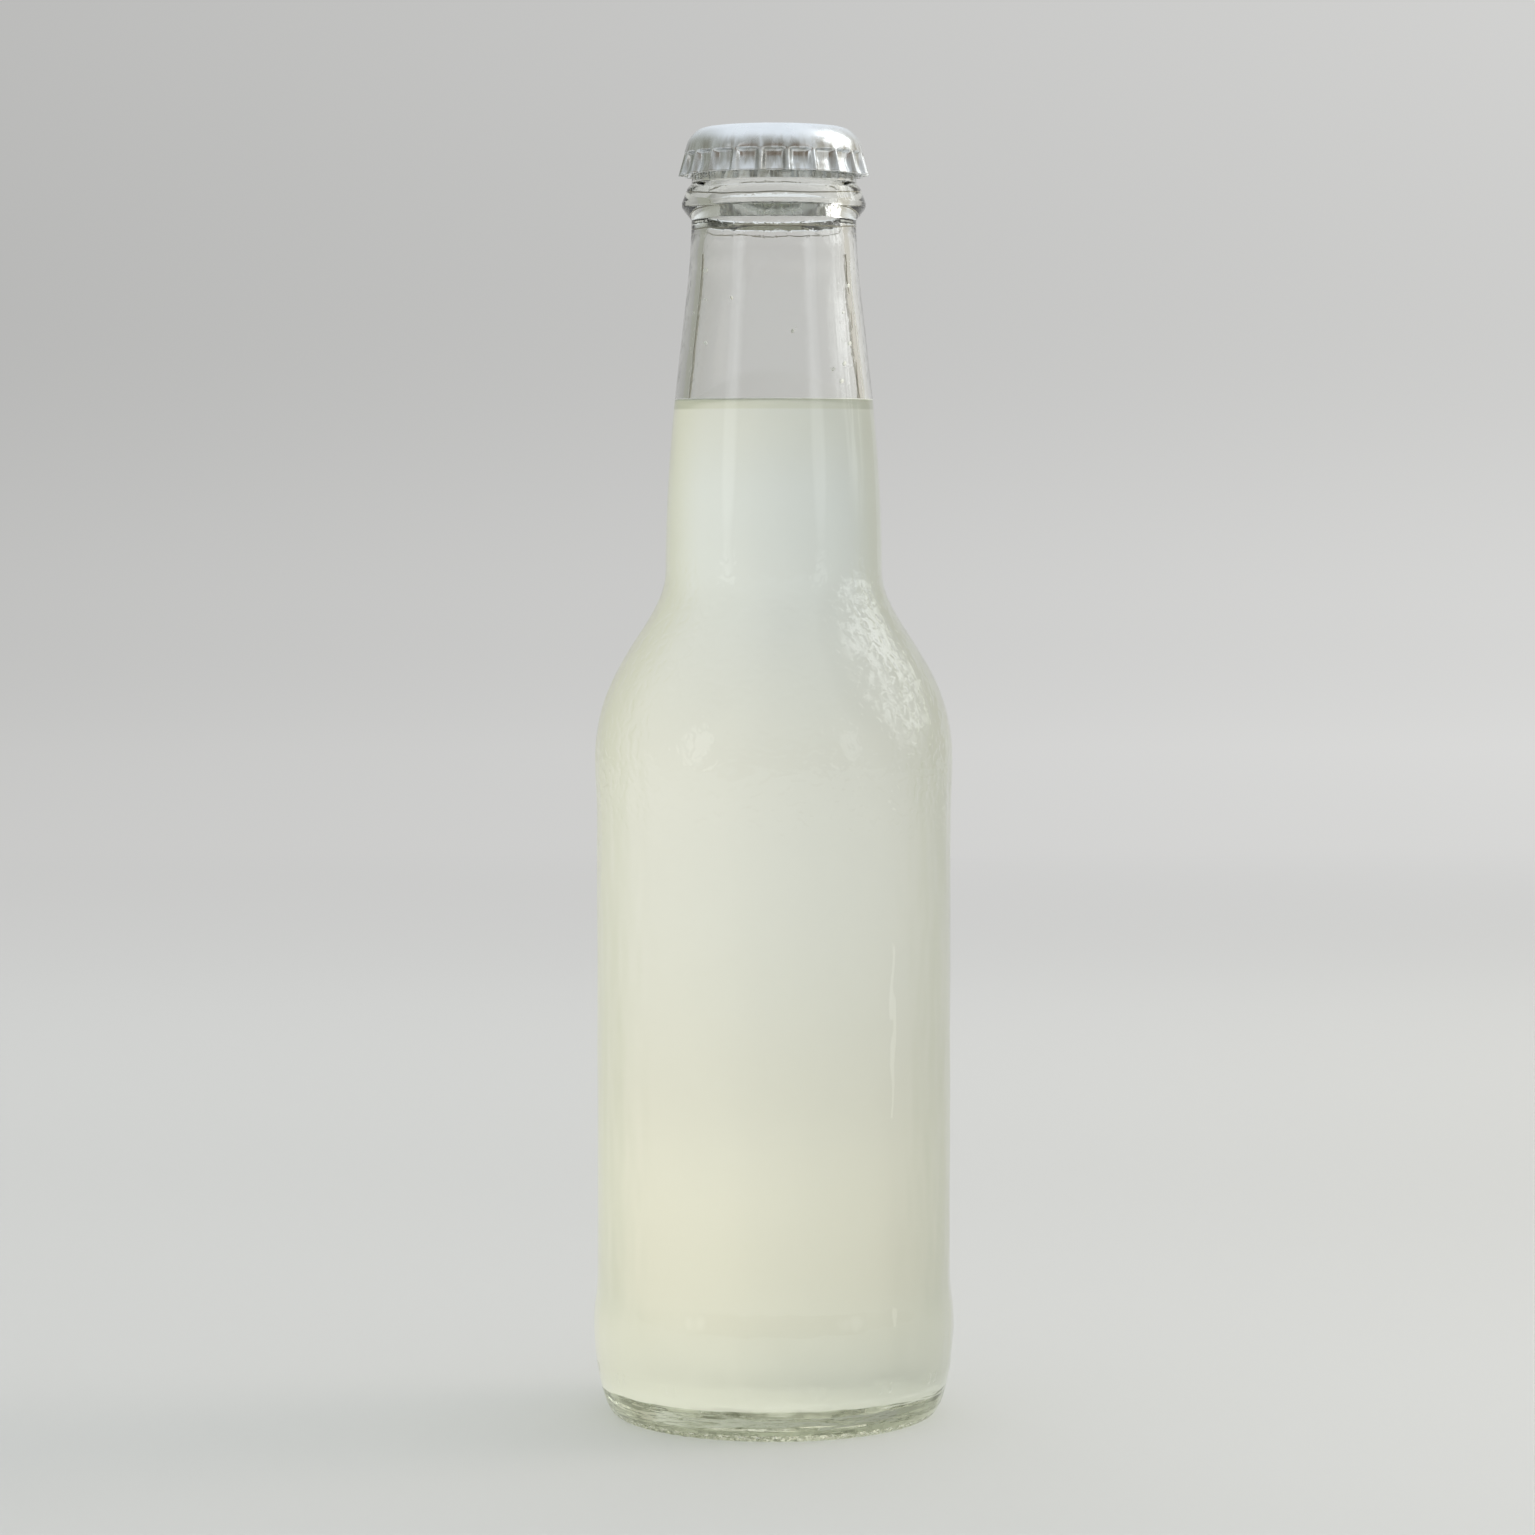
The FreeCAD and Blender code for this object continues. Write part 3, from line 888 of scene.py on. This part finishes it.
def sweep():
    """A floor that curves up into a backdrop, in one sheet."""
    half_width = 1.6
    wall = 2.4
    bend = 0.5
    bend_steps = 32
    line = [(-2.5, 0.0), (wall - bend, 0.0)]
    for step in range(1, bend_steps + 1):
        angle = math.pi / 2 * step / bend_steps
        line.append((wall - bend + bend * math.sin(angle), bend - bend * math.cos(angle)))
    line.append((wall, 0.9))
    points = [(x, y, z) for y, z in line for x in (-half_width, half_width)]
    faces = [(2 * i, 2 * i + 1, 2 * i + 3, 2 * i + 2) for i in range(len(line) - 1)]
    thing = mesh_object("studio_sweep", points, (), faces)
    for face in thing.data.polygons:
        face.use_smooth = True
    thing.data.materials.append(stage_material())


def soft_lamp(name, place, size, energy, tint):
    """A large soft lamp that faces the middle of the bottle."""
    lamp = bpy.data.lights.new(name, "AREA")
    lamp.shape = "RECTANGLE"
    lamp.size, lamp.size_y = size
    lamp.energy = energy
    lamp.color = tint
    thing = linked(name, lamp)
    thing.location = place
    aim = Vector((0, 0, 0.1)) - thing.location
    thing.rotation_euler = aim.to_track_quat("-Z", "Y").to_euler()
    thing.visible_camera = False
    thing.visible_glossy = False
    thing.visible_transmission = False
    return thing


def studio_air():
    """Soft studio air, a broken bright window on the right, a brown room in front."""
    world = bpy.data.worlds.new("Studio Air")
    bpy.context.scene.world = world
    shades = Shades(world)
    way = shades.node("ShaderNodeTexCoord").outputs["Generated"]

    def toward(direction, low, high):
        aim = tuple(Vector(direction).normalized())
        return shades.span(shades.vector("DOT_PRODUCT", way, aim), low, high)

    air = shades.blend(toward((0.1, 0.35, 0.9), 0.0, 0.85), (0.56, 0.57, 0.55), (1.22, 1.28, 1.34))
    air = shades.blend(toward((-1, 0.5, -0.1), 0.45, 0.9), air, (0.46, 0.47, 0.41))
    air = shades.blend(toward((1, 0.35, 0), 0.35, 0.9), air, (0.8, 0.77, 0.69))
    level = shades.minus(1.0, toward((0, 0, 1), 0.12, 0.32))
    room = shades.times(level, toward((0, -1, 0), 0.45, 0.75))
    air = shades.blend(room, air, (0.25, 0.18, 0.12))

    # The window's light is broken by whatever stands before it; two strips stand in front
    gaps = shades.span(shades.noise(way, 9, 3.0), 0.4, 0.62, 0.2, 3.6)
    window = shades.times(toward(window_way, 0.86, 0.96), gaps)
    left_strip = toward((-0.78, -0.63, 0.17), 0.985, 0.997)
    right_strip = toward((0.78, -0.63, 0.17), 0.985, 0.997)
    bright = shades.times_plus(shades.plus(left_strip, right_strip), 1.3, window)
    glow = shades.vector("SCALE", (0.97, 1, 1.02), scale=bright)
    total = shades.vector("ADD", air, glow)
    back = shades.node("ShaderNodeBackground", Color=total, Strength=0.76)
    shades.node("ShaderNodeOutputWorld", Surface=back)


def lamps():
    """A warm window lamp, a wide lamp behind, and a small strip that shines on the side."""
    white = (1, 1, 1)
    soft_lamp("right_window", (1.35, 0.3, 0.7), (0.65, 0.65), 6.1, (1, 0.86, 0.6))
    soft_lamp("back_window", (0, 1.5, 1.0), (2.6, 0.9), 12.8, white)
    strip = soft_lamp("side_strip", (0.25, -0.055, 0.035), (0.018, 0.041), 0.0028, white)
    strip.visible_glossy = True


def camera():
    """A long lens in front of the bottle."""
    lens = bpy.data.cameras.new("camera")
    lens.sensor_width = 36
    lens.lens = camera_lens
    lens.clip_start = 0.01
    thing = linked("camera", lens)
    thing.location = camera_place
    thing.rotation_euler = (math.radians(90 - camera_tip), 0, 0)
    bpy.context.scene.camera = thing


def dress(piece, node=None):
    """Hangs a piece on the bottle's body, and hides the node it stands for if one is given."""
    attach(piece, "root")
    if node:
        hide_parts(node)


def wall_radius(height):
    """Inner radius of the neck at a height."""
    wall = [point for point in inside_wall(0) if point[1] > shoulder_height]
    low, high = [pair for pair in zip(wall, wall[1:]) if pair[0][1] <= height <= pair[1][1]][0]
    share = (height - low[1]) / (high[1] - low[1])
    return low[0] + (high[0] - low[0]) * share


def throat_radius(height):
    """Inner radius of the throat at a height, a little inside its smooth curve."""
    start = waist_radius - waist_wall
    share = (height - throat_start) / (throat_end - throat_start)
    return start + (mouth_radius - start) * (3 * share ** 2 - 2 * share ** 3)


def wall_point(angle, height):
    """The point on the inner wall of the neck or throat at a turn and a height."""
    radius = wall_radius(height) if height < throat_start else throat_radius(height)
    return radius * math.cos(angle), radius * math.sin(angle), height


def ring_chain(height):
    """Points round the inner wall at one height, and the edges between them."""
    count = 300
    points = [wall_point(math.tau * step / count, height) for step in range(count)]
    return points, open_edges(count) + [(count - 1, 0)]


def wall_chain(turn, high):
    """Points down the inner wall to the fill line at one turn, and the edges between them."""
    count = 140
    heights = [high + (fill_height - high) * step / count for step in range(count + 1)]
    return [wall_point(math.radians(turn), height) for height in heights], open_edges(count + 1)


# Drops that cling to the inner wall above the drink, their glints painted as a pale finish: turn in degrees,
# height in millimetres
drop_places = (
    (-150, 177.5), (-142, 166.3), (-30, 166.3), (-42, 160.5), (-38, 163.2), (-34, 171.0),
    (-147, 173.0), (-24, 175.2), (40, 163.0), (75, 169.0), (128, 174.0), (200, 171.0),
)

camera()
sweep()
studio_air()
lamps()

turning = turning_tree()
residue_and_glint_lines = residue_and_glint_tree()
glass = glass_material()
drink = drink_material()
steel = steel_material()
# A pale finish: fine foam on the right wall, and painted glints on the drops and the ring at the fill line
foam_and_painted_glints = mottled_material("Fine Foam And Painted Glints", 900, 2.0, (0.86, 0.88, 0.84), (0.98, 0.99, 0.97), 0.4)
dried_drink = mottled_material("Dried Drink", 900, 2.0, (0.2, 0.19, 0.15), (0.42, 0.4, 0.34), 0.45)
compound = mottled_material("Liner Compound", 500, 3.0, (0.72, 0.7, 0.64), (0.84, 0.82, 0.76), 0.5)

glass_bottle = profile_object("glass_bottle", glass_outline())
grown(glass_bottle, turning, {"Material": glass})
grown(glass_bottle, relief_tree(), {"Material": glass})
dress(glass_bottle, "bottle")

drink_fill = profile_object("drink_fill", drink_outline())
grown(drink_fill, turning, {"Material": drink})
dress(drink_fill, "drink")

crown_cap = cap_chain("crown_cap")
grown(crown_cap, crown_tree(), {"Material": steel})
dress(crown_cap, "cap")

drop_points = [wall_point(math.radians(turn), height * MM) for turn, height in drop_places]
wall_drops = mesh_object("wall_drops", drop_points)
grown(wall_drops, drops_tree(), {"Material": foam_and_painted_glints})
dress(wall_drops)

# Thin lines on the inner wall: what dried there, a line of fine foam down to the drink, and a pale ring
# where the drink ends, a painted highlight along its surface
for name, chain, finish, sizes in (
    ("throat_residue", ring_chain(throat_residue_height), dried_drink, {}),
    ("mouth_residue", ring_chain(mouth_residue_height), dried_drink, {
        "Waver": (0, 0, MM),
        "Seed": 4.0,
    }),
    ("left_wall_residue", wall_chain(-154, wall_residue_top), dried_drink, {
        "Waver": (0, MM, 0),
        "Thickness": 0.08 * MM,
        "Seed": 2.0,
    }),
    ("right_wall_residue", wall_chain(-25, wall_residue_top), dried_drink, {
        "Waver": (0, 3 * MM, 0),
        "Thickness": 0.13 * MM,
        "Seed": 3.0,
    }),
    # Painted highlight: the drink surface's bright edge, drawn as a pale ring
    ("fill_line", ring_chain(fill_height + 0.1 * MM), foam_and_painted_glints, {
        "Waver": (0, 0, 0.3 * MM),
        "Thickness": 0.11 * MM,
        "Thinnest": 0.3,
    }),
    ("right_wall_foam", wall_chain(-20, wall_foam_top), foam_and_painted_glints, {
        "Waver": (0, 0.5 * MM, 0),
        "Thinnest": 0.4,
        "Seed": 6.0,
    }),
):
    line = mesh_object(name, *chain)
    grown(line, residue_and_glint_lines, {**sizes, "Material": finish})
    dress(line)

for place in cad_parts["liner"].material_slots:
    place.material = compound

bpy.context.scene.view_settings.view_transform = "Standard"
